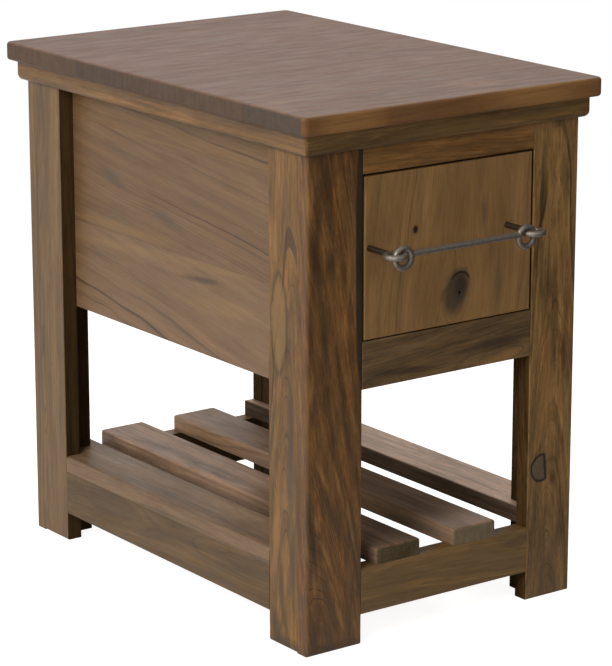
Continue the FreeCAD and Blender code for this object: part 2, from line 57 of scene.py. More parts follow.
def add(tree, kind, inputs=(), out=0, **settings):
    """One node in a tree, with its settings. Gives back one output, or all of them where out is None.

    An input gets a plain value or is linked to another node's output.
    """
    made = tree.nodes.new("ShaderNode" + kind)
    for name, value in settings.items():
        setattr(made, name, value)
    for socket, value in inputs.items() if isinstance(inputs, dict) else enumerate(inputs):
        if isinstance(value, bpy.types.NodeSocket):
            tree.links.new(value, made.inputs[socket])
        else:
            made.inputs[socket].default_value = value
    return made.outputs if out is None else made.outputs[out]


# Settings that come often: a smooth rise between two limits, and colours laid over each other
SMOOTH = {"interpolation_type": "SMOOTHSTEP"}
BLEND = {"out": 2, "data_type": "RGBA"}


def empty(block):
    """The node tree of a material or world, cleared."""
    block.use_nodes = True
    block.node_tree.nodes.clear()
    return block.node_tree


def new_group(name, inputs, outputs):
    """An empty node group with its named sockets, and the node that hands its inputs on."""
    tree = bpy.data.node_groups.new(name, "ShaderNodeTree")
    for socket, value in inputs.items():
        kind = "Float" if isinstance(value, float) else "Color" if len(value) == 4 else "Vector"
        made = tree.interface.new_socket(socket, in_out="INPUT", socket_type="NodeSocket" + kind)
        made.default_value = value
    for socket, kind in outputs.items():
        tree.interface.new_socket(socket, in_out="OUTPUT", socket_type="NodeSocket" + kind)
    return tree, tree.nodes.new("NodeGroupInput").outputs, tree.nodes.new("NodeGroupOutput").inputs


# Wood

# Solid wood, worked out in space, so that faces, edges and end grain belong together. A board's own
# coordinates are metres across its width, out through its face, and along its grain.

NOWHERE = (0.0, 0.0, 0.0)
WHITE = (1.0, 1.0, 1.0, 1.0)


def per_metre(*sizes):
    """Waves per metre of a pattern whose sizes are in millimetres, to two figures."""
    return tuple(float(f"{1 / (size * MM):.2g}") for size in sizes)


# The noises that figure the wood: their sizes in millimetres across the board, out through its face and
# along its grain, and their detail and roughness
NOISES = {
    "slow drift": (per_metre(143, 143, 420), 1.5, 0.5),
    "fast drift": (per_metre(33, 33, 90), 1.5, 0.5),
    "vein patches": (per_metre(50, 50, 200), 2.0, 0.5),
    "blotches": (per_metre(29, 29, 167), 5.0, 0.68),
    "gleams": (per_metre(7.7, 7.7, 125), 4.0, 0.7),
    "clouds": (per_metre(14.3, 14.3, 90), 4.0, 0.65),
    "fibres": (per_metre(2.6, 2.6, 90), 5.0, 0.7),
    "fine fibres": (per_metre(0.77, 0.77, 22), 2.0, 0.5),
    # pores are a third of a millimetre wide in the real wood, and drawn twice as wide so that they show
    "pores": (per_metre(0.67, 0.67, 14.3), 0.0, 0.5),
    "end lines": (per_metre(5.9, 42, 250), 2.5, 0.6),
    "worn and highlit edges": (per_metre(16.7, 16.7, 33), 2.0, 0.5),
    "dull patches": (per_metre(11.1, 11.1, 50), 3.0, 0.5),
}
# The noises from ring to ring: waves to each ring, detail and roughness
RING_NOISES = {"bands": (0.45, 5.0, 0.7), "veins": (1.5, 0.0, 0.5)}

# Where in a noise each thing starts to show, and where it shows in full
BAND_SHOWS, VEIN_PATCH_SHOWS = (0.36, 0.64), (0.33, 0.55)
BLOTCH_SHOWS, GLEAM_SHOWS, PORE_SHOWS = (0.48, 0.70), (0.54, 0.70), (0.66, 0.74)
# Where a noise gives the darkest and the lightest tone
TONE_LIMITS = (0.33, 0.67)
# Cosines of the angle at which a face starts to count as end grain, and counts in full, and an edge as worn
# and highlit
END_TURN, EDGE_TURN = (0.55, 0.95), (0.99, 0.90)
# End grain's lines, and edges worn lighter with a painted highlight: the noise's limits, and the tone or
# strength at each
COMB_TONES, WEAR_AND_HIGHLIGHT_STRENGTH = (0.35, 0.65, 0.88, 1.14), (0.35, 0.65, 0.30, 0.85)
# Where a face that looks toward the table's middle starts to be shaded, and where it is in full: its
# distance from the middle along the way it faces, in metres, which is below zero there
INNER_SIDE = (-0.03, -0.06)
# Relief of the skin: heights of the fibres and veins beside the pores' 1, and its strength and metres
FIBRE_HEIGHT, VEIN_HEIGHT, RELIEF_STRENGTH, RELIEF = 0.35, -0.4, 0.35, 0.0004
# The wax's dullness: the noise's limits, and the roughness at each
WAX_ROUGHNESS = (0.3, 0.7, 0.40, 0.54)

# How far the slow and the fast drift of the grain reach, in metres
SLOW_REACH, FAST_REACH = 0.030, 0.0060
# How thin the veins are
VEIN_WIDTH = 0.026
# How much the fibres, the fine fibres and the pores change the tone
FIBRE_TONE, FINE_TONE, PORE_TONE = 0.30, 0.12, 0.5
# How much of the end grain's stain shows, and how much duller it is
END_TONE, END_DULL = 0.8, 0.18
# Edges lighter partly from wear and partly from a painted highlight: their radius in metres
EDGE_RADIUS = 0.0015


def wood_pattern():
    """Grain of one board.

    Rings: the distance from the pith line, bent by a slow and a fast noise and divided by the ring width,
    is read by one-dimensional noises, which give wide bands and thin dark veins. Fibres, pores and stain
    blotches are noises drawn out along the grain.
    """
    tree, given, out = new_group(
        "solid acacia",
        {"Place": NOWHERE, "Grain": (0.0, 0.0, 1.0), "Seed": NOWHERE, "Pith": NOWHERE, "Slant": NOWHERE,
         "Ring": 0.007, "Band": 1.0, "Streak": 0.5, "Vein": 0.5, "Fibre": 1.0, "Cloud": 0.2, "Wander": 1.0,
         "Inner": 0.4, "Light": WHITE, "Middle": WHITE, "Dark": WHITE, "Gold": WHITE, "End": WHITE},
        {"Colour": "Color", "Roughness": "Float", "Normal": "Vector", "Shaded": "Float", "Fibre": "Float"},
    )
    leaning = add(tree, "Mapping", {0: given["Place"], 2: given["Slant"]}, vector_type="POINT")
    spot = add(tree, "VectorMath", (leaning, given["Seed"]), operation="ADD")
    noises = {}
    for name, (waves, detail, rough) in NOISES.items():
        stretched = add(tree, "VectorMath", (spot, waves), operation="MULTIPLY")
        values = {"Vector": stretched, "Scale": 1.0, "Detail": detail, "Roughness": rough}
        noises[name] = add(tree, "TexNoise", values, None)

    # the grain wanders, slowly and fast, but not along itself
    bent = given["Place"]
    for name, reach in (("slow drift", SLOW_REACH), ("fast drift", FAST_REACH)):
        drift = add(tree, "VectorMath", (noises[name]["Color"], (0.5, 0.5, 0.5)), operation="SUBTRACT")
        moved = add(tree, "VectorMath", (drift, (reach, reach, 0)), operation="MULTIPLY")
        moved = add(tree, "VectorMath", {0: moved, "Scale": given["Wander"]}, operation="SCALE")
        bent = add(tree, "VectorMath", (bent, moved), operation="ADD")
    turned = add(tree, "Mapping", (bent, given["Pith"], given["Slant"]), vector_type="POINT")
    turned = add(tree, "VectorMath", (turned, (1, 1, 0)), operation="MULTIPLY")
    distance = add(tree, "VectorMath", (turned,), "Value", operation="LENGTH")
    rings = add(tree, "Math", (distance, given["Ring"]), operation="DIVIDE")
    rings = add(tree, "Math", (rings, add(tree, "SeparateXYZ", (given["Seed"],))), operation="ADD")
    for name, (waves, detail, rough) in RING_NOISES.items():
        values = {"W": rings, "Scale": waves, "Detail": detail, "Roughness": rough}
        noises[name] = add(tree, "TexNoise", values, None, noise_dimensions="1D")

    # a vein runs wherever its noise passes through its middle value
    band = add(tree, "MapRange", (noises["bands"]["Fac"], *BAND_SHOWS), **SMOOTH)
    from_vein = add(tree, "Math", (noises["veins"]["Fac"], 0.5), operation="SUBTRACT")
    from_vein = add(tree, "Math", (from_vein,), operation="ABSOLUTE")
    thin = add(tree, "MapRange", (from_vein, 0.0, VEIN_WIDTH, 1.0, 0.0), **SMOOTH)
    patchy = add(tree, "MapRange", (noises["vein patches"]["Fac"], *VEIN_PATCH_SHOWS), **SMOOTH)
    vein = add(tree, "Math", (thin, patchy), operation="MULTIPLY")
    vein = add(tree, "Math", (vein, given["Vein"]), operation="MULTIPLY")

    blotch = add(tree, "MapRange", (noises["blotches"]["Fac"], *BLOTCH_SHOWS), **SMOOTH)
    blotch = add(tree, "Math", (blotch, given["Streak"]), operation="MULTIPLY")
    gleam = add(tree, "MapRange", (noises["gleams"]["Fac"], *GLEAM_SHOWS), **SMOOTH)
    gleam = add(tree, "Math", (gleam, given["Streak"]), operation="MULTIPLY")
    pores = add(tree, "MapRange", (noises["pores"]["Fac"], *PORE_SHOWS), **SMOOTH)
    fibre = noises["fibres"]["Fac"]

    halfway = add(tree, "Mix", {0: 0.5, 6: given["Light"], 7: given["Middle"]}, **BLEND)
    banded = add(tree, "Mix", {0: band, 6: given["Light"], 7: given["Middle"]}, **BLEND)
    tone = add(tree, "Mix", {0: given["Band"], 6: halfway, 7: banded}, **BLEND)
    tone = add(tree, "Mix", {0: blotch, 6: tone, 7: given["Dark"]}, **BLEND)
    tone = add(tree, "Mix", {0: gleam, 6: tone, 7: given["Gold"]}, **BLEND)
    tone = add(tree, "Mix", {0: vein, 6: tone, 7: given["Dark"]}, **BLEND)
    fibre_tone = add(tree, "Math", (given["Fibre"], FIBRE_TONE), operation="MULTIPLY")
    fine_tone = add(tree, "Math", (given["Fibre"], FINE_TONE), operation="MULTIPLY")
    strengths = {"clouds": given["Cloud"], "fibres": fibre_tone, "fine fibres": fine_tone}
    for name, strength in strengths.items():
        darkest = add(tree, "Math", (1.0, strength), operation="SUBTRACT")
        lightest = add(tree, "Math", (1.0, strength), operation="ADD")
        grey = add(tree, "MapRange", (noises[name]["Fac"], *TONE_LIMITS, darkest, lightest))
        tone = add(tree, "Mix", {0: 1.0, 6: tone, 7: grey}, **BLEND, blend_type="MULTIPLY")
    pore_tone = add(tree, "Math", (pores, PORE_TONE), operation="MULTIPLY")
    pore_tone = add(tree, "Math", (pore_tone, given["Fibre"]), operation="MULTIPLY")
    tone = add(tree, "Mix", {0: pore_tone, 6: tone, 7: given["Dark"]}, **BLEND)

    # faces that cut across the grain took up more stain, in lines along the rings
    facing = add(tree, "TexCoord", (), "Normal")
    cosine = add(tree, "VectorMath", (facing, given["Grain"]), "Value", operation="DOT_PRODUCT")
    cosine = add(tree, "Math", (cosine,), operation="ABSOLUTE")
    end = add(tree, "MapRange", (cosine, *END_TURN), **SMOOTH)
    lines = add(tree, "MapRange", (noises["end lines"]["Fac"], *COMB_TONES), **SMOOTH)
    cut_end = add(tree, "Mix", {0: 1.0, 6: given["End"], 7: lines}, **BLEND, blend_type="MULTIPLY")
    end_tone = add(tree, "Math", (end, END_TONE), operation="MULTIPLY")
    tone = add(tree, "Mix", {0: end_tone, 6: tone, 7: cut_end}, **BLEND)

    # edges are lighter in places: partly wear, partly a painted highlight where rounded edges catch the
    # light
    soft = add(tree, "Bevel", {"Radius": EDGE_RADIUS}, samples=4)
    real = add(tree, "NewGeometry", (), "Normal")
    edge = add(tree, "VectorMath", (soft, real), "Value", operation="DOT_PRODUCT")
    edge = add(tree, "MapRange", (edge, *EDGE_TURN), **SMOOTH)
    worn_and_highlit = add(tree, "MapRange", (noises["worn and highlit edges"]["Fac"], *WEAR_AND_HIGHLIGHT_STRENGTH), **SMOOTH)
    worn_and_highlit = add(tree, "Math", (edge, worn_and_highlit), operation="MULTIPLY")
    tone = add(tree, "Mix", {0: worn_and_highlit, 6: tone, 7: given["Light"]}, **BLEND)

    # faces turned to the table's middle get a painted shade, standing in for the table's own shadow on them,
    # and were never waxed
    from_middle = add(tree, "TexCoord", (), "Object")
    from_middle = add(tree, "VectorMath", (from_middle, (1, 1, 0)), operation="MULTIPLY")
    outward = add(tree, "VectorMath", (from_middle, facing), "Value", operation="DOT_PRODUCT")
    inner_shade = add(tree, "MapRange", (outward, *INNER_SIDE), **SMOOTH)
    shaded = add(tree, "Mix", {0: inner_shade, 2: 1.0, 3: given["Inner"]})

    height = add(tree, "Math", (fibre, FIBRE_HEIGHT), operation="MULTIPLY")
    height = add(tree, "Math", (height, pores), operation="SUBTRACT")
    vein_height = add(tree, "Math", (vein, VEIN_HEIGHT), operation="MULTIPLY")
    height = add(tree, "Math", (height, vein_height), operation="ADD")
    relief = {"Height": height, "Normal": soft, "Strength": RELIEF_STRENGTH, "Distance": RELIEF}
    bump = add(tree, "Bump", relief)
    gloss = add(tree, "MapRange", (noises["dull patches"]["Fac"], *WAX_ROUGHNESS))
    end_rough = add(tree, "Math", (end, END_DULL), operation="MULTIPLY")
    rough = add(tree, "Math", (gloss, end_rough), operation="ADD")

    found = {"Colour": tone, "Roughness": rough, "Normal": bump, "Shaded": shaded, "Fibre": fibre}
    for socket, value in found.items():
        tree.links.new(value, out[socket])
    return tree


# A mark without a straight side has that side out of reach
NO_FLAT_SIDE = -9.0
# Waves of a mark's ragged edge to each half width
RAGGED_WAVES = 1.1


def mark_pattern():
    """A knot or patch: how far a point is from its middle, as a share of its size, with a ragged edge.

    A straight side cuts the mark off: there a point's reach is at least the side's share less how far the
    point lies across. Round a knot the grain flows as water round a post: a point's distance across from
    the middle is shortened by a share of itself over the square of its reach.
    """
    tree, given, out = new_group(
        "mark",
        {"Place": NOWHERE, "Seed": NOWHERE, "Centre": NOWHERE, "Turn": NOWHERE, "Size": (1.0, 1.0, 1.0),
         "Ragged": 0.3, "Bend": 0.0, "Flat": NO_FLAT_SIDE},
        {"Reach": "Float", "Up": "Float", "Shift": "Vector"},
    )
    fitted = (given["Place"], given["Centre"], given["Turn"], given["Size"])
    own = add(tree, "Mapping", fitted, vector_type="TEXTURE")
    across, _, up = add(tree, "SeparateXYZ", (own,), None)
    cut_off = add(tree, "Math", (given["Flat"], across), operation="SUBTRACT")
    reach = add(tree, "VectorMath", (own,), "Value", operation="LENGTH")
    reach = add(tree, "Math", (reach, cut_off), operation="MAXIMUM")

    spot = add(tree, "VectorMath", (own, (1, 0, 1)), operation="MULTIPLY")
    spot = add(tree, "VectorMath", (spot, given["Seed"]), operation="ADD")
    values = {"Vector": spot, "Scale": RAGGED_WAVES, "Detail": 4.0, "Roughness": 0.6}
    rough = add(tree, "Math", (add(tree, "TexNoise", values, "Fac"), 0.5), operation="SUBTRACT")
    ragged = add(tree, "Math", (rough, given["Ragged"], reach), operation="MULTIPLY_ADD")

    square = add(tree, "Math", (reach, reach), operation="MULTIPLY")
    square = add(tree, "Math", (square, 1.0), operation="MAXIMUM")
    share = add(tree, "Math", (given["Bend"], square), operation="DIVIDE")
    away = add(tree, "VectorMath", (given["Place"], given["Centre"]), operation="SUBTRACT")
    away = add(tree, "VectorMath", (away, (1, 0, 0)), operation="MULTIPLY")
    shift = add(tree, "VectorMath", {0: away, "Scale": share}, operation="SCALE")
    for socket, value in {"Reach": ragged, "Up": up, "Shift": shift}.items():
        tree.links.new(value, out[socket])
    return tree


WOOD = wood_pattern()
MARK = mark_pattern()
AXES = {"X": Vector((1, 0, 0)), "Y": Vector((0, 1, 0)), "Z": Vector((0, 0, 1))}

# A rim starts this far up its mark, in shares of the half length: below its lower end, if it runs all
# round. A rim that starts part way up comes in over the second share.
ALL_ROUND, RIM_START = -3.0, 0.4

# What each kind of mark does: colour and strength of its fill, where the fill starts and stops to fade, how
# ragged it is, how far it bends the grain, and its rim's colour, strength, width and start
MARKS = {
    "knot": ("3a332a", 0.75, (0.55, 1.10), 0.30, 0.8, None),
    "core": ("2a2622", 0.65, (0.30, 1.20), 0.40, 0.0, None),
    "crescent": ("140d07", 0.0, (0.50, 1.00), 0.30, 0.0, ("100a05", 0.90, 0.20, 0.30)),
    "ring": ("5f5342", 0.80, (0.85, 1.10), 0.40, 0.4, ("1c130b", 0.95, 0.20, ALL_ROUND)),
    "dot": ("0c0805", 0.95, (0.60, 1.10), 0.20, 0.0, None),
    "pin_knot": ("150e08", 0.95, (0.50, 0.95), 0.30, 0.8, ("6a4420", 0.45, 0.25, ALL_ROUND)),
    "red_knot": ("5a2c14", 0.75, (0.50, 1.10), 0.40, 0.6, ("2a150a", 0.40, 0.20, ALL_ROUND)),
    "heart": ("26251f", 0.90, (0.75, 1.10), 0.40, 0.0, None),
    "amber": ("7e531c", 0.60, (0.60, 1.10), 0.30, 0.0, None),
    "dim": ("1c1204", 0.28, (0.10, 1.30), 0.50, 0.0, None),
    # painted shade: darkens a slat where it lies in the shade under the case, and takes its wax off
    "unwaxed_shade": ("35280c", 0.62, (0.70, 1.15), 0.30, 0.0, None),
    "shade": ("2a1e13", 0.60, (0.20, 1.25), 0.90, 0.0, None),
    "veil": ("4a4238", 0.50, (0.10, 1.25), 0.90, 0.0, None),
    "glow": ("a37540", 0.68, (0.20, 1.25), 0.90, 0.0, None),
    "gold": ("9c7a4a", 0.38, (0.40, 1.20), 0.50, 0.0, None),
    "island": ("94723f", 0.55, (0.60, 1.00), 0.45, 0.0, ("33220f", 0.55, 0.13, ALL_ROUND)),
}

# Marks with a straight side on their right: it lies 1 less this, in half widths, out from the middle
FLAT_SIDE = {"ring": 0.68}

# The wood's own fibres show through these, and these have no wax on them
SOFT = {"amber", "dim", "unwaxed_shade", "shade", "veil", "glow", "gold"}
WAXLESS = {"unwaxed_shade", "dot"}
# Fibres showing through: the noise's limits, and the mark's strength at each
SHOW_THROUGH = (0.36, 0.60, 0.55, 1.15)

# Stains: the wood's mean colour, from which the lighter, middle, darker, golden and end-grain ones follow
SHADES = ((1.30, 1.28, 1.26), (0.80, 0.78, 0.74), (0.30, 0.27, 0.26), (1.90, 1.55, 1.05), (0.62, 0.64, 0.68))

# How boards of a kind are figured: ring width (mm), contrast of the bands, strength of streaks, veins,
# fibres and clouds, and how far the grain wanders
STYLES = {
    "top": (9, 0.40, 0.06, 0.26, 0.26, 0.09, 1.6),
    "front board": (4.5, 0.7, 0.20, 0.36, 0.65, 0.18, 1.2),
    "panel": (10, 0.45, 0.04, 0.85, 0.26, 0.12, 1.5),
    "drawer": (10, 0.35, 0.05, 0.35, 0.40, 0.13, 1.6),
    "leg": (4.6, 1.0, 0.60, 0.90, 0.95, 0.32, 0.8),
    "rail": (5, 1.0, 0.45, 0.50, 0.80, 0.28, 1.0),
    "shelf": (6, 0.9, 0.22, 0.35, 0.65, 0.18, 1.0),
    "bare": (6, 0.6, 0.10, 0.30, 0.60, 0.08, 1.0),
}

# Where the marked faces lie, in millimetres about the table's middle
FRONT, LEFT, PANEL, TOP_FRONT = -264, -190, -171, -283.5
SLAT_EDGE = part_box("edge_slat_right")[0][0] / MM

# Boards that the light shows well: kind, mean colour, pith line (mm across and out from the middle), its
# tilt (degrees out and across), and marks. A mark has its kind, middle, half width and half length (mm),
# and tilt (degrees)
BOARDS = {
    "top_board_1": ("front board", "73513a", (5, -55), (1.5, 1), [
        ("amber", (0, TOP_FRONT, 599), (8, 600), 0), ("glow", (110, TOP_FRONT, 602), (3, 90), 1),
        ("glow", (-150, TOP_FRONT, 595), (2.5, 50), 0)]),
    "top_board_2": ("top", "725039", (30, -70), (1, -1), []),
    "top_board_3": ("top", "714f38", (-20, -60), (-1, 1), []),
    "top_board_4": ("top", "74513c", (15, -75), (1, 1), []),
    "top_board_5": ("top", "72503a", (-35, -60), (-1, 0), [("dot", (-8, 322.5, 606), (5, 4), 0)]),
    "subtop_front": ("rail", "765930", (60, -30), (0, 1), []),
    "subtop_left": ("rail", "7b5a34", (50, -40), (0, 1), []),
    "front_top_rail": ("rail", "7e582a", (40, -40), (0, 2), []),
    "front_bottom_rail": ("rail", "6a5233", (-30, -50), (0, -4), [
        ("shade", (-60, FRONT, 308), (5, 60), -4), ("shade", (60, FRONT, 320), (5, 60), 6),
        ("glow", (80, FRONT, 300), (5, 40), 6)]),
    "side_panel_left_upper": ("panel", "7d5f3c", (150, -40), (0, 3), []),
    "side_panel_left_middle": ("panel", "795c3f", (120, -40), (0, 7), [
        ("veil", (PANEL, 150, 470), (8, 40), -14), ("veil", (PANEL, 40, 440), (9, 50), -10),
        ("gold", (PANEL, 150, 410), (8, 130), 1), ("gold", (PANEL, 60, 534), (9, 260), 0)]),
    "side_panel_left_lower": ("panel", "826549", (90, -60), (1, 8), [
        ("shade", (PANEL, -36, 381), (5, 48), 4), ("gold", (PANEL, 20, 395), (7, 240), 3.2),
        ("gold", (PANEL, -70, 356), (13, 75), 4)]),
    "leg_front_left_face": ("leg", "734f27", (50, -62), (-4.5, -5), [
        ("shade", (-177, FRONT, 470), (7, 75), -2), ("shade", (-166, FRONT, 360), (6, 56), 8),
        ("shade", (-160, FRONT, 443), (7, 20), 0), ("glow", (-186, FRONT, 514), (4, 22), 0),
        ("glow", (-135, FRONT, 430), (3, 34), 0), ("glow", (-185, FRONT, 305), (4, 26), 0),
        ("shade", (-158, FRONT, 163), (7, 50), 24), ("shade", (-160, FRONT, 62), (7, 46), 14),
        ("shade", (-125, FRONT, 120), (6, 70), 9), ("shade", (-181, FRONT, 120), (5, 34), 4),
        ("shade", (-136, FRONT, 240), (5, 50), 12), ("shade", (-180, FRONT, 20), (8, 30), 0),
        ("glow", (-171, FRONT, 209), (3, 22), 22), ("glow", (-177, FRONT, 155), (4, 13), 8),
        ("glow", (-162, FRONT, 108), (3, 36), 22), ("glow", (-180, FRONT, 85), (3.5, 17), 4),
        ("glow", (-145, FRONT, 38), (3, 21), 20), ("glow", (-131, FRONT, 145), (2.5, 54), 11),
        ("glow", (-147, FRONT, 190), (2.5, 40), 16),
        ("shade", (-155, FRONT, 2), (60, 12), 0), ("heart", (-117, FRONT, 455), (9, 165), 0)]),
    "leg_front_left_side": ("leg", "7b592d", (-8, -44), (-2.2, 1), [
        ("island", (LEFT, -212, 370), (15, 56), 0), ("shade", (LEFT, -234, 262), (6, 62), 0),
        # the long glow near the front corner is partly the wood and partly a painted highlight where the
        # rounded corner catches the light
        ("veil", (LEFT, -233, 200), (10, 110), 2), ("glow", (LEFT, -252, 330), (4, 200), 0),
        ("glow", (LEFT, -207, 130), (7, 60), -4),
        ("shade", (LEFT, -200, 250), (4, 50), -8), ("shade", (LEFT, -215, 70), (6, 46), 6),
        ("shade", (LEFT, -238, 90), (4, 60), 2), ("shade", (LEFT, -205, 20), (12, 26), 20),
        ("shade", (LEFT, -225, 0), (60, 14), 0)]),
    "leg_front_right_face": ("leg", "8b693c", (0, -45), (-3, 0), [
        ("ring", (144.5, FRONT, 158), (15.5, 15.5), 8), ("red_knot", (161, FRONT, 142), (4, 8), 0),
        ("dim", (157, FRONT, 40), (60, 100), 0),
        ("shade", (137, FRONT, 470), (4, 70), 0), ("glow", (150, FRONT, 260), (9, 60), 0)]),
    "leg_back_left_face": ("shelf", "765b3a", (20, -50), (1, 0), []),
    "leg_back_left_side": ("shelf", "765b3a", (20, -50), (1, 0), []),
    "drawer_front": ("drawer", "906c40", (-20, -70), (-2, 4), [
        ("knot", (13, FRONT, 386), (20, 30), -14), ("core", (21, FRONT, 393), (13, 20), -8),
        ("crescent", (20, FRONT, 395), (14, 13), -8), ("dot", (19, FRONT, 385), (1.6, 2), 0),
        ("pin_knot", (-44, FRONT, 465), (4.5, 6), 0),
        ("veil", (75, FRONT, 385), (9, 34), 0), ("veil", (53, FRONT, 470), (5, 24), 0)]),
    "apron_front": ("shelf", "7a5d33", (20, -50), (0, 3), []),
    "apron_left": ("shelf", "664c28", (-20, -50), (0, -2), []),
    "edge_slat_left": ("shelf", "8d7053", (10, -50), (0, 1), [("dim", (LEFT, 0, 98), (6, 900), 0)]),
    "shelf_slat_left": ("shelf", "a3836a", (-15, -60), (0, -1), [("unwaxed_shade", (-55, -150, 100), (90, 150), 0)]),
    "shelf_slat_right": ("shelf", "9a7a5e", (20, -55), (0, 1), [("unwaxed_shade", (45, -70, 100), (90, 160), 0)]),
    # the right edge slat's pale colour is partly painted light, for the light on its top where the case
    # shades the other slats
    "edge_slat_right": ("shelf", "d4b298", (0, -60), (0, 0), [("unwaxed_shade", (SLAT_EDGE, 0, 98), (3, 500), 0)]),
}
# Ends of the top's and the shelf's boards, where the grain took up more of a greyer stain
ENDS = {"top_board_1": "453c32", "top_board_2": "4f3e2f", "top_board_3": "4d3d30", "top_board_4": "473a2f",
        "top_board_5": "564333", "shelf_slat_left": "5c553e", "shelf_slat_right": "6a6048"}
# Kinds of the other boards by how their names start. What isn't named is figured as the shelf.
KINDS = {"top_board": "top", "side_panel": "panel", "back_panel": "panel", "leg": "leg", "subtop": "rail",
         "front": "rail", "drawer_front": "drawer"}
# Mean colours of the boards that the table above leaves out: stained ones, and bare ones inside
HIDDEN = "785a38"
BARE = "b08d62"
# How much of its light a face turned to the table's middle keeps
INNER = 0.34
# Pieces of metal, pieces left bare inside, and boards whose grain runs across the table
METAL = {"drawer_nails", "top_screws", "pull_bar", "pull_eye_left", "pull_eye_right"}
INSIDE = ("drawer_side", "drawer_back", "drawer_bottom", "drawer_runner", "drawer_guide", "drawer_kicker",
          "drawer_stop", "drawer_rest", "frame_dowels", "slat_dowels")
ACROSS = ("top_board", "front_", "back_panel", "subtop_front", "subtop_back", "apron_front", "apron_back",
          "drawer_back", "drawer_stop")
# A board's outward side looks away from here
TABLE_MIDDLE = Vector((0, 0, 0.3))
# How strongly unwaxed and waxed wood shines, how much duller unwaxed wood is, and the wax's index
LEAST_WAX, FULL_WAX, UNWAXED_DULL, WAX_IOR = 0.08, 0.5, 0.4, 1.47
# Drawn by lot for each board: where its patterns start, and for a board that isn't in the table above,
# where its pith lies (mm across and out) and how it leans (degrees)
LAST_START, PITH_ACROSS, PITH_OUT, LEAN = 40, (-30, 30), (-80, -35), (-2, 2)


def board_frame(name, grain):
    """Turn and shift that take a point of the table to the board's own coordinates, from its middle."""
    low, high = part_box(name)
    middle, size = (low + high) / 2, high - low
    along = AXES[grain]
    thin = min((axis for axis in AXES if axis != grain), key=lambda axis: size["XYZ".index(axis)])
    out = AXES[thin].copy()
    if out.dot(middle - TABLE_MIDDLE) < 0:
        out.negate()
    turn = Matrix((out.cross(along), out, along))
    return turn, -(turn @ middle)


def grain_of(name):
    """The way a board's grain runs."""
    if name.startswith("leg_") or name == "drawer_front":
        return "Z"
    return "X" if name.startswith(ACROSS) else "Y"


def wood(name, kind, code, pith, slant, marks, seed):
    """One board's stained acacia: brown with darker bands that follow its rings, satin from wax."""
    turn, shift = board_frame(name, grain_of(name))
    material = bpy.data.materials.new("stained acacia " + name)
    tree = empty(material)
    to_board = (add(tree, "TexCoord", (), "Object"), tuple(shift), tuple(turn.to_euler("XYZ")))
    place = add(tree, "Mapping", to_board, vector_type="POINT")
    start = (seed, seed * 1.7 + 3, seed * 0.6)

    reaches, flow = [], place
    for mark, centre, (wide, long), tilt in marks:
        ragged, bend = MARKS[mark][3:5]
        values = {"Place": place, "Seed": start, "Centre": tuple(turn @ (Vector(centre) * MM) + shift),
                  "Turn": (0, math.radians(tilt), 0), "Size": (wide * MM, 1.0, long * MM),
                  "Ragged": ragged, "Bend": bend, "Flat": FLAT_SIDE.get(mark, NO_FLAT_SIDE)}
        made = add(tree, "Group", values, None, node_tree=MARK)
        reaches.append((mark, made))
        if bend:
            flow = add(tree, "VectorMath", (flow, made["Shift"]), operation="SUBTRACT")

    ring, band, streak, vein, fibre, cloud, wander = STYLES[kind]
    light, middle, dark, gold, end = [colour(code, shade) for shade in SHADES]
    values = {
        "Place": flow, "Grain": tuple(AXES[grain_of(name)]), "Seed": start,
        "Pith": (-pith[0] * MM, -pith[1] * MM, 0),
        "Slant": (math.radians(slant[0]), math.radians(slant[1]), 0), "Ring": ring * MM, "Band": band,
        "Streak": streak, "Vein": vein, "Fibre": fibre, "Cloud": cloud, "Wander": wander,
        "Inner": 1.0 if kind == "bare" else INNER, "Light": light, "Middle": middle, "Dark": dark,
        "Gold": gold, "End": colour(ENDS[name]) if name in ENDS else end,
    }
    pattern = add(tree, "Group", values, None, node_tree=WOOD)

    tone = pattern["Colour"]
    through = add(tree, "MapRange", (pattern["Fibre"], *SHOW_THROUGH))
    # faces turned to the table's middle, and the marks of painted shade on the slats, have little wax on
    # them
    wax = add(tree, "MapRange", (pattern["Shaded"], INNER, 1.0, LEAST_WAX, FULL_WAX))
    for mark, found in reaches:
        fill, amount, (solid, clear), _, _, rim = MARKS[mark]
        body = add(tree, "MapRange", (found["Reach"], solid, clear, amount, 0.0), **SMOOTH)
        if mark in WAXLESS:
            beside = add(tree, "Math", (1.0, body), operation="SUBTRACT")
            wax = add(tree, "Math", (wax, beside), operation="MULTIPLY")
        if mark in SOFT:
            body = add(tree, "Math", (body, through), operation="MULTIPLY", use_clamp=True)
        tone = add(tree, "Mix", {0: body, 6: tone, 7: colour(fill)}, **BLEND)
        if rim:
            rim_colour, strength, width, low = rim
            from_rim = add(tree, "Math", (found["Reach"], 1.0), operation="SUBTRACT")
            from_rim = add(tree, "Math", (from_rim,), operation="ABSOLUTE")
            edge = add(tree, "MapRange", (from_rim, 0.0, width, strength, 0.0), **SMOOTH)
            above = add(tree, "MapRange", (found["Up"], low, low + RIM_START))
            edge = add(tree, "Math", (edge, above), operation="MULTIPLY")
            tone = add(tree, "Mix", {0: edge, 6: tone, 7: colour(rim_colour)}, **BLEND)
    # here the painted shade on faces turned to the table's middle darkens the colour
    tone = add(tree, "Mix", {0: 1.0, 6: tone, 7: pattern["Shaded"]}, **BLEND, blend_type="MULTIPLY")
    dull = add(tree, "MapRange", (wax, 0.0, FULL_WAX, UNWAXED_DULL, 0.0))
    rough = add(tree, "Math", (pattern["Roughness"], dull), operation="ADD")
    skin = {"Base Color": tone, "Roughness": rough, "Normal": pattern["Normal"], "IOR": WAX_IOR,
            "Specular IOR Level": wax}
    add(tree, "OutputMaterial", {"Surface": add(tree, "BsdfPrincipled", skin)}, None)
    return material


def dress(node, material):
    """Give a node one material in place of what it came with."""
    node.data.materials.clear()
    node.data.materials.append(material)


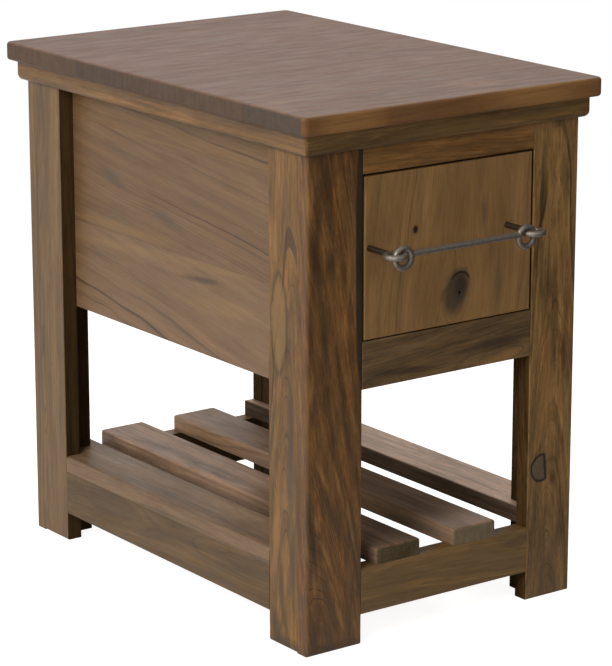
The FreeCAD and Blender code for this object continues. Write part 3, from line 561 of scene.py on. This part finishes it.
draws = np.random.default_rng(7)
for name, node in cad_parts.items():
    if name in METAL:
        continue
    seed = round(float(draws.uniform(0, LAST_START)), 3)
    pith = (float(draws.uniform(*PITH_ACROSS)), float(draws.uniform(*PITH_OUT)))
    slant = (float(draws.uniform(*LEAN)), float(draws.uniform(*LEAN)))
    kind = next((KINDS[start] for start in KINDS if name.startswith(start)), "shelf")
    kind = "bare" if name.startswith(INSIDE) else kind
    plain = (kind, BARE if kind == "bare" else HIDDEN, pith, slant, [])
    dress(node, wood(name, *BOARDS.get(name, plain), seed))

# Metal

# Where a stem's painted shade begins behind its eye, and where it is full, in metres; then the dark tone of
# scale and shade
STEM_START, STEM_DARK = -0.303, -0.294
SCALE_AND_STEM_SHADE = (0.3, 0.26, 0.22)
# Patches on metal: their size in millimetres, the noise's limits for gloss and for tone, and how far they
# take the roughness down and up
METAL_PATCHES = per_metre(5.6)[0]
GLOSS_LIMITS, MOTTLE_LIMITS = (0.3, 0.7), (0.35, 0.65)
SMOOTHER, ROUGHER = -0.1, 0.15
# Relief of a metal's skin: its strength, and its height in metres
METAL_RELIEF_STRENGTH, METAL_RELIEF = 0.15, 0.0002


def metal(name, code, rough, mottle, stem_shade=0.0):
    """Bare metal: duller and darker in patches, and darkest on the pull's stems, where shade is painted on.
    """
    material = bpy.data.materials.new(name)
    tree = empty(material)
    point = add(tree, "TexCoord", (), "Object")
    patch = add(tree, "TexNoise", {"Vector": point, "Scale": METAL_PATCHES, "Detail": 2.0}, "Fac")
    rougher = add(tree, "MapRange", (patch, *GLOSS_LIMITS, rough + SMOOTHER, rough + ROUGHER))
    mottled = add(tree, "MapRange", (patch, *MOTTLE_LIMITS, 0.0, mottle))
    behind = add(tree, "SeparateXYZ", (point,), 1)
    stem = add(tree, "MapRange", (behind, STEM_START, STEM_DARK, 0.0, stem_shade))
    amount = add(tree, "Math", (mottled, stem), operation="MAXIMUM")
    tone = add(tree, "Mix", {0: amount, 6: colour(code), 7: colour(code, SCALE_AND_STEM_SHADE)}, **BLEND)
    relief = {"Height": patch, "Strength": METAL_RELIEF_STRENGTH, "Distance": METAL_RELIEF}
    dents = add(tree, "Bump", relief)
    skin = {"Base Color": tone, "Roughness": rougher, "Metallic": 1.0, "Normal": dents}
    add(tree, "OutputMaterial", {"Surface": add(tree, "BsdfPrincipled", skin)}, None)
    return material


# Forged iron keeps a dark scale from the fire in patches, worn grey where hands and the ring touch it; its
# stems carry a painted shade
iron = metal("forged iron", "a0958a", 0.56, 0.30, stem_shade=1.0)
steel = metal("plain steel", "a09d98", 0.35, 0.4)
for name in sorted(METAL):
    dress(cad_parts[name], iron if name.startswith("pull") else steel)

# Pull

# The same places and sizes as the solids', in millimetres about the table's middle: the wire's radius, the
# eyes, the bar's rings, the bar's rod and the stems' ends
WIRE = 3.5
EYE_X, EYE_Y, EYE_Z, EYE_RADIUS = {"left": -107.04, "right": 86.01}, -310.5, 452.97, 10.5
RING_X, RING_Z, RING_RADIUS = {"left": -96.54, "right": 75.51}, 449.27, 11.0
ROD_Z, STEM_END = 452.77, -250.0
# Points round the wire and round a ring, and the grain of the weld in millimetres
SIDES, RING_POINTS, WELD = 20, 72, 0.55
# How strongly and how often the weld is smoothed
SMOOTHING, SMOOTHINGS = 0.5, 2
# Hammer dents: millimetres of wire to each, depth, reach along the wire, reach round it in radians, and
# the most that dents together take off
DENT_EVERY, DENT_DEPTH, DENT_LENGTH, DENT_TURN, DEEPEST = 2.4, (0.01, 0.06), (1.6, 3.4), 0.75, 0.8


def hammered(path, axis, closed, rng):
    """A wire along a flat path: round sections whose radius is cut down by shallow hammer dents.

    A section's radius at an angle is the wire's, less for each dent its depth times the bell curve of the
    distance along the wire and of the angle between.
    """
    count, sides = len(path), SIDES
    ahead = np.roll(path, -1, 0) - np.roll(path, 1, 0)
    if not closed:
        ahead[0], ahead[-1] = path[1] - path[0], path[-1] - path[-2]
    ahead /= np.linalg.norm(ahead, axis=1, keepdims=True)
    aside = np.cross(axis, ahead)
    turn = np.linspace(0, 2 * np.pi, sides, endpoint=False)
    step = np.linalg.norm(path[1] - path[0])
    run = np.arange(count) * step
    dents = int(run[-1] / DENT_EVERY)
    where, facing = rng.uniform(0, run[-1], dents), rng.uniform(0, 2 * np.pi, dents)
    depth, reach = rng.uniform(*DENT_DEPTH, dents), rng.uniform(*DENT_LENGTH, dents)
    apart = (run[:, None, None] - where) / reach
    angle = (turn[None, :, None] - facing + np.pi) % (2 * np.pi) - np.pi
    cut = (depth * np.exp(-apart**2 - (angle / DENT_TURN) ** 2)).sum(axis=2).clip(0, DEEPEST)
    radii = WIRE - cut
    circle = np.cos(turn)[None, :, None] * aside[:, None, :] + np.sin(turn)[None, :, None] * np.asarray(axis)
    points = (path[:, None, :] + radii[:, :, None] * circle).reshape(-1, 3)
    rows = np.arange(count if closed else count - 1)[:, None]
    first, second = rows * sides, (rows + 1) % count * sides
    here, beyond = np.arange(sides), (np.arange(sides) + 1) % sides
    corners = [first + here, first + beyond, second + beyond, second + here]
    faces = np.stack(corners, axis=2).reshape(-1, 4).tolist()
    if not closed:
        faces += [list(range(sides))[::-1], list(range((count - 1) * sides, count * sides))]
    return points, faces


def circle_path(centre, radius, flat):
    """Points round a circle that lies flat or stands facing the front."""
    turn = np.linspace(0, 2 * np.pi, RING_POINTS, endpoint=False)[:, None]
    upward = np.array((0, 1, 0) if flat else (0, 0, 1))
    return np.asarray(centre) + radius * (np.cos(turn) * np.array((1, 0, 0)) + np.sin(turn) * upward)


def straight_path(start, end):
    """Points from one end of a straight wire to the other, a millimetre apart."""
    start, end = np.asarray(start, float), np.asarray(end, float)
    count = int(np.linalg.norm(end - start)) + 1
    return start + (end - start) * np.linspace(0, 1, count)[:, None]


def forge(name, wires, body, node):
    """One forged piece: its wires welded into one skin that is smooth but for the dents."""
    points, faces, start = [], [], 0
    for own_points, own_faces in wires:
        points.append(own_points)
        faces += [[corner + start for corner in face] for face in own_faces]
        start += len(own_points)
    mesh = bpy.data.meshes.new(name)
    mesh.from_pydata((np.concatenate(points) * MM).tolist(), [], faces)
    piece = bpy.data.objects.new(name, mesh)
    bpy.context.scene.collection.objects.link(piece)
    weld = piece.modifiers.new("weld", "REMESH")
    weld.mode, weld.voxel_size, weld.use_smooth_shade = "VOXEL", WELD * MM, True
    soften = piece.modifiers.new("soften", "SMOOTH")
    soften.factor, soften.iterations = SMOOTHING, SMOOTHINGS
    mesh.materials.append(iron)
    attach(piece, body)
    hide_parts(node)


blows = np.random.default_rng(11)
FLAT, STANDING = (0, 0, 1), (0, -1, 0)
for side, eye_x in EYE_X.items():
    eye = hammered(circle_path((eye_x, EYE_Y, EYE_Z), EYE_RADIUS, True), FLAT, True, blows)
    stem = straight_path((eye_x, EYE_Y + EYE_RADIUS, EYE_Z), (eye_x, STEM_END, EYE_Z))
    stem = hammered(stem, FLAT, False, blows)
    forge(f"forged_eye_{side}", [eye, stem], "drawer", f"pull_eye_{side}")
rings = [circle_path((x, EYE_Y, RING_Z), RING_RADIUS, False) for x in RING_X.values()]
rod = [(x, EYE_Y, ROD_Z) for x in (RING_X["left"] + RING_RADIUS, RING_X["right"] - RING_RADIUS)]
wires = [hammered(ring, STANDING, True, blows) for ring in rings]
wires.append(hammered(straight_path(*rod), STANDING, False, blows))
forge("forged_bar", wires, "pull", "pull_bar")

# Studio

# The white paper hangs behind the table and to its left, which is where the light comes from
TO_PAPER = (-0.72, 0.69, 0.0)
FLOOR_REACH = 20
FLOOR_TONE, BLACK = (0.60, 0.57, 0.52, 1), (0, 0, 0, 1)
# How bright the floor shows by itself: the table's shadow takes the rest away
FLOOR_SHOWN = 0.90
# How much of the paper's light falls on the table
PAPER_LIGHT = 0.55
# How far toward the paper a direction is where it starts to be bright and where it is brightest, and its
# least and most brightness: of the room, and of the floor as glossy things show it
ROOM_PAPER, FLOOR_PAPER = (-0.6, 0.4, 0.06, 1.0), (-1.2, 0.4, 0.0, 0.9)
# Metres from the middle at which the floor starts to be plain white, and is
PLAIN_FLOOR = (0.9, 2.2)
# Name, place in metres, size in metres and power in watts
LAMPS = (
    ("key_left", (-2.4, -1.0, 1.9), 1.8, 42),
    ("fill_front", (0.6, -2.8, 1.6), 1.8, 10),
    ("over_right", (0.95, 0.5, 2.5), 1.2, 15),
)
LIT_POINT = Vector((0, 0, 0.35))

# The camera's lens, place and aim, worked out from the photograph's corner points
SENSOR_MM, FOCAL_PIXELS, PICTURE_PIXELS = 36.0, 3019.232, 666
CAMERA_PLACE, CAMERA_DOWN, CAMERA_RIGHT = (-2.03815, -2.78461, 1.20494), 14.935, 36.226


def paper_level(tree, direction, levels):
    """How bright the paper is toward a direction: brightest to the left and the back."""
    side = add(tree, "VectorMath", (direction, TO_PAPER), "Value", operation="DOT_PRODUCT")
    return add(tree, "MapRange", (side, *levels), **SMOOTH)


def white_floor():
    """The floor.

    To the camera and in reflections it is white but for the table's shadow near its feet. The shadow
    fades out, and far from the table the floor is plain white.
    """
    mesh = bpy.data.meshes.new("studio_floor")
    corners = [(x * FLOOR_REACH, y * FLOOR_REACH, 0) for x, y in ((-1, -1), (1, -1), (1, 1), (-1, 1))]
    mesh.from_pydata(corners, [], [(0, 1, 2, 3)])
    floor = bpy.data.objects.new("studio_floor", mesh)
    bpy.context.scene.collection.objects.link(floor)
    paper = bpy.data.materials.new("white paper")
    tree = empty(paper)
    seen = add(tree, "LightPath", (), None)
    spot = add(tree, "TexCoord", (), "Object")
    level = paper_level(tree, spot, FLOOR_PAPER)
    reflected = add(tree, "Math", (level, seen["Is Glossy Ray"]), operation="MULTIPLY")
    shown = add(tree, "Math", (seen["Is Camera Ray"], FLOOR_SHOWN), operation="MULTIPLY")
    strength = add(tree, "Math", (shown, reflected), operation="MAXIMUM")
    tone = add(tree, "Mix", {0: seen["Is Glossy Ray"], 6: FLOOR_TONE, 7: BLACK}, **BLEND)
    matt = add(tree, "BsdfDiffuse", {"Color": tone})
    glow = add(tree, "Emission", {"Color": WHITE, "Strength": strength})
    both = add(tree, "AddShader", (matt, glow))
    white = add(tree, "Emission", {"Color": WHITE, "Strength": 1.0})
    fade = add(tree, "VectorMath", (spot,), "Value", operation="LENGTH")
    fade = add(tree, "MapRange", (fade, *PLAIN_FLOOR), **SMOOTH)
    fade = add(tree, "Math", (fade, seen["Is Camera Ray"]), operation="MULTIPLY")
    lit = add(tree, "MixShader", (fade, both, white))
    add(tree, "OutputMaterial", {"Surface": lit}, None)
    mesh.materials.append(paper)


def white_room():
    """The paper all round: white to the camera, and to the table brightest behind it and to its left."""
    world = bpy.data.worlds.new("studio")
    bpy.context.scene.world = world
    tree = empty(world)
    seen = add(tree, "LightPath", (), None)
    level = paper_level(tree, add(tree, "TexCoord", (), "Generated"), ROOM_PAPER)
    dimmed = add(tree, "Math", (level, PAPER_LIGHT), operation="MULTIPLY")
    glossy = add(tree, "Mix", {0: seen["Is Glossy Ray"], 2: dimmed, 3: level})
    clear = add(tree, "Math", (seen["Is Camera Ray"], seen["Is Transmission Ray"]), operation="MAXIMUM")
    strength = add(tree, "Mix", {0: clear, 2: glossy, 3: 1.0})
    sky = add(tree, "Background", {"Color": WHITE, "Strength": strength})
    add(tree, "OutputWorld", {"Surface": sky}, None)


def lamps():
    """Soft round lamps, aimed at the middle of the table."""
    for name, place, size, power in LAMPS:
        lamp = bpy.data.lights.new(name, "AREA")
        lamp.shape, lamp.size, lamp.energy = "DISK", size, power
        holder = bpy.data.objects.new(name, lamp)
        bpy.context.scene.collection.objects.link(holder)
        holder.location = place
        holder.rotation_euler = (LIT_POINT - Vector(place)).to_track_quat("-Z", "Y").to_euler()


def camera():
    """The photograph's viewpoint: in front and to the left, a little above, and far off with a long lens."""
    lens = bpy.data.cameras.new("camera")
    lens.sensor_width, lens.lens = SENSOR_MM, SENSOR_MM * FOCAL_PIXELS / PICTURE_PIXELS
    lens.clip_start, lens.clip_end = 0.1, 100.0
    holder = bpy.data.objects.new("camera", lens)
    bpy.context.scene.collection.objects.link(holder)
    holder.location = CAMERA_PLACE
    holder.rotation_euler = (math.radians(90 - CAMERA_DOWN), 0.0, math.radians(-CAMERA_RIGHT))
    bpy.context.scene.camera = holder


white_floor()
white_room()
lamps()
camera()
bpy.context.scene.view_settings.view_transform = "Standard"
